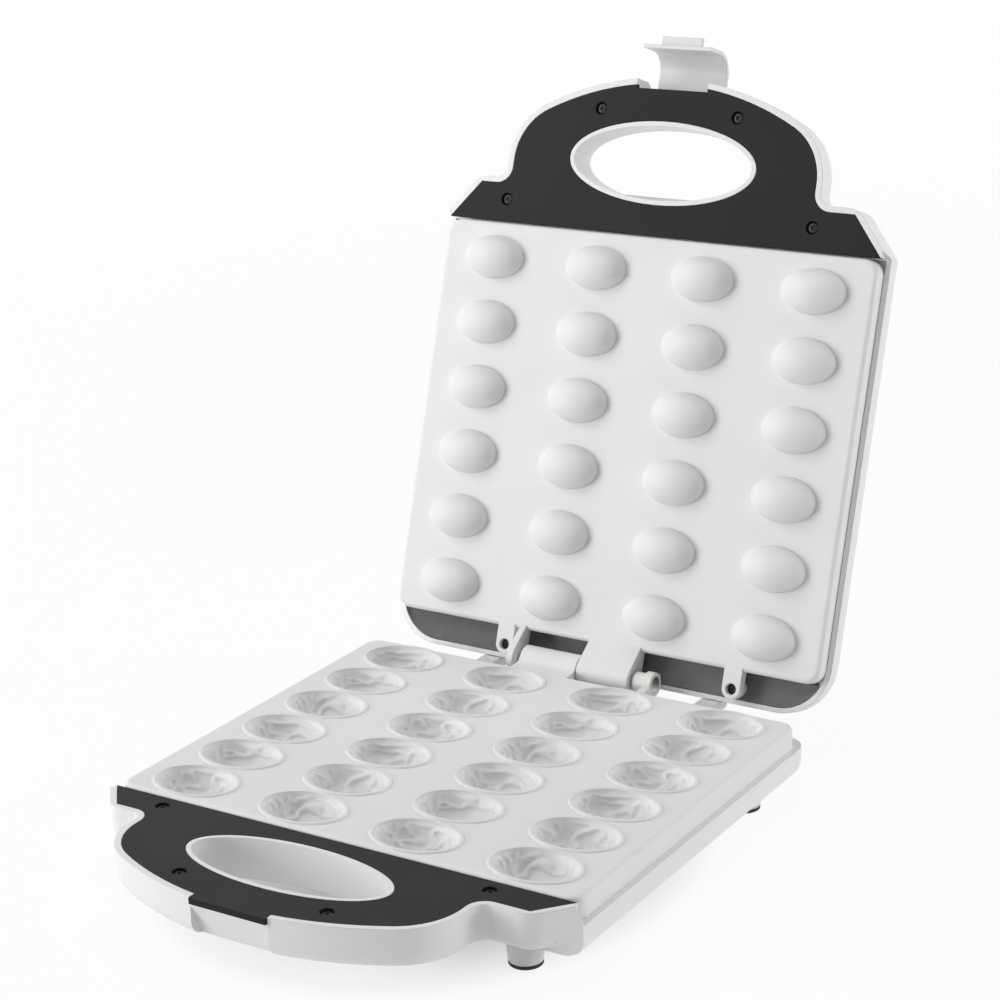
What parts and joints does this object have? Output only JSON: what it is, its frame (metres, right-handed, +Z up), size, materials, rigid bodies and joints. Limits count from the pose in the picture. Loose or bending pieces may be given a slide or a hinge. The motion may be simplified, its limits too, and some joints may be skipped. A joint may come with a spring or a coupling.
{
  "type": "electric nut cookie maker",
  "caption": "Open electric nut cookie maker: cavity plate in a footed base, domed plate in a hinged lid, matching handles with oval openings and a front latch.",
  "frame": {"origin": "middle of the footprint of the open appliance, on the surface that its feet stand on", "axes": "+X to the user's right, +Y from the handles towards the hinge, +Z up"},
  "size_m": [0.2566, 0.427, 0.3467],
  "materials": {
    "white_plastic": "smooth, light gloss",
    "coated_plate": "non-stick coating, satin",
    "charcoal_trim": "fine matt grain",
    "grey_plastic": "satin",
    "black_rubber": "matt",
    "steel": "bright",
    "dark_screw": "blackened",
    "heater_steel": "oxidised",
    "aluminium_sheet": "bright rolled",
    "phenolic": "moulded thermoset",
    "lamp_red": "transparent red",
    "lamp_green": "transparent green",
    "lead_sleeve": "glass-fibre sleeve"
  },
  "bodies": {
    "base": {"base_handle_trim": "charcoal_trim", "base_housing": "white_plastic", "base_trim_screw_1": "dark_screw", "base_trim_screw_2": "dark_screw", "base_trim_screw_3": "dark_screw", "base_trim_screw_4": "dark_screw", "cord_inlet_bushing": "black_rubber", "foot_pad_front_left": "black_rubber", "foot_pad_front_right": "black_rubber", "foot_pad_rear_left": "black_rubber", "foot_pad_rear_right": "black_rubber", "hinge_clip": "steel", "hinge_pin": "steel", "lower_clamp_screw_1": "steel", "lower_clamp_screw_2": "steel", "lower_clamp_screw_3": "steel", "lower_clamp_screw_4": "steel", "lower_heater": "heater_steel", "lower_heater_clamp_left": "steel", "lower_heater_clamp_right": "steel", "lower_plate": "coated_plate", "lower_plate_screw_front_left": "steel", "lower_plate_screw_front_right": "steel", "lower_plate_screw_rear_left": "steel", "lower_plate_screw_rear_right": "steel", "lower_reflector": "aluminium_sheet", "supply_lead_left": "lead_sleeve", "supply_lead_right": "lead_sleeve", "terminal_block": "phenolic", "thermal_fuse": "steel", "thermostat": "phenolic"},
    "lid": {"lamp_holder": "phenolic", "latch_pin": "steel", "lid_handle_trim": "charcoal_trim", "lid_housing": "white_plastic", "lid_trim_screw_1": "dark_screw", "lid_trim_screw_2": "dark_screw", "lid_trim_screw_3": "dark_screw", "lid_trim_screw_4": "dark_screw", "power_lamp_lens": "lamp_red", "ready_lamp_lens": "lamp_green", "thermal_limiter": "phenolic", "upper_clamp_screw_1": "steel", "upper_clamp_screw_2": "steel", "upper_clamp_screw_3": "steel", "upper_clamp_screw_4": "steel", "upper_heater": "heater_steel", "upper_heater_clamp_left": "steel", "upper_heater_clamp_right": "steel", "upper_lug_screw_left": "dark_screw", "upper_lug_screw_right": "dark_screw", "upper_plate": "coated_plate", "upper_plate_screw_left": "steel", "upper_plate_screw_right": "steel", "upper_reflector": "aluminium_sheet"},
    "latch": {"latch": "grey_plastic"}
  },
  "joints": [
    {"name": "lid_hinge", "type": "hinge", "parent": "base", "child": "lid", "pos_m": [0, 0.08796, 0.037], "axis": [1, 0, 0], "range_deg": [0, 108.5]},
    {"name": "latch_hinge", "type": "hinge", "parent": "lid", "child": "latch", "pos_m": [-0.0025, 0.19191, 0.30765], "axis": [1, 0, 0], "range_deg": [0, 90]}
  ]
}
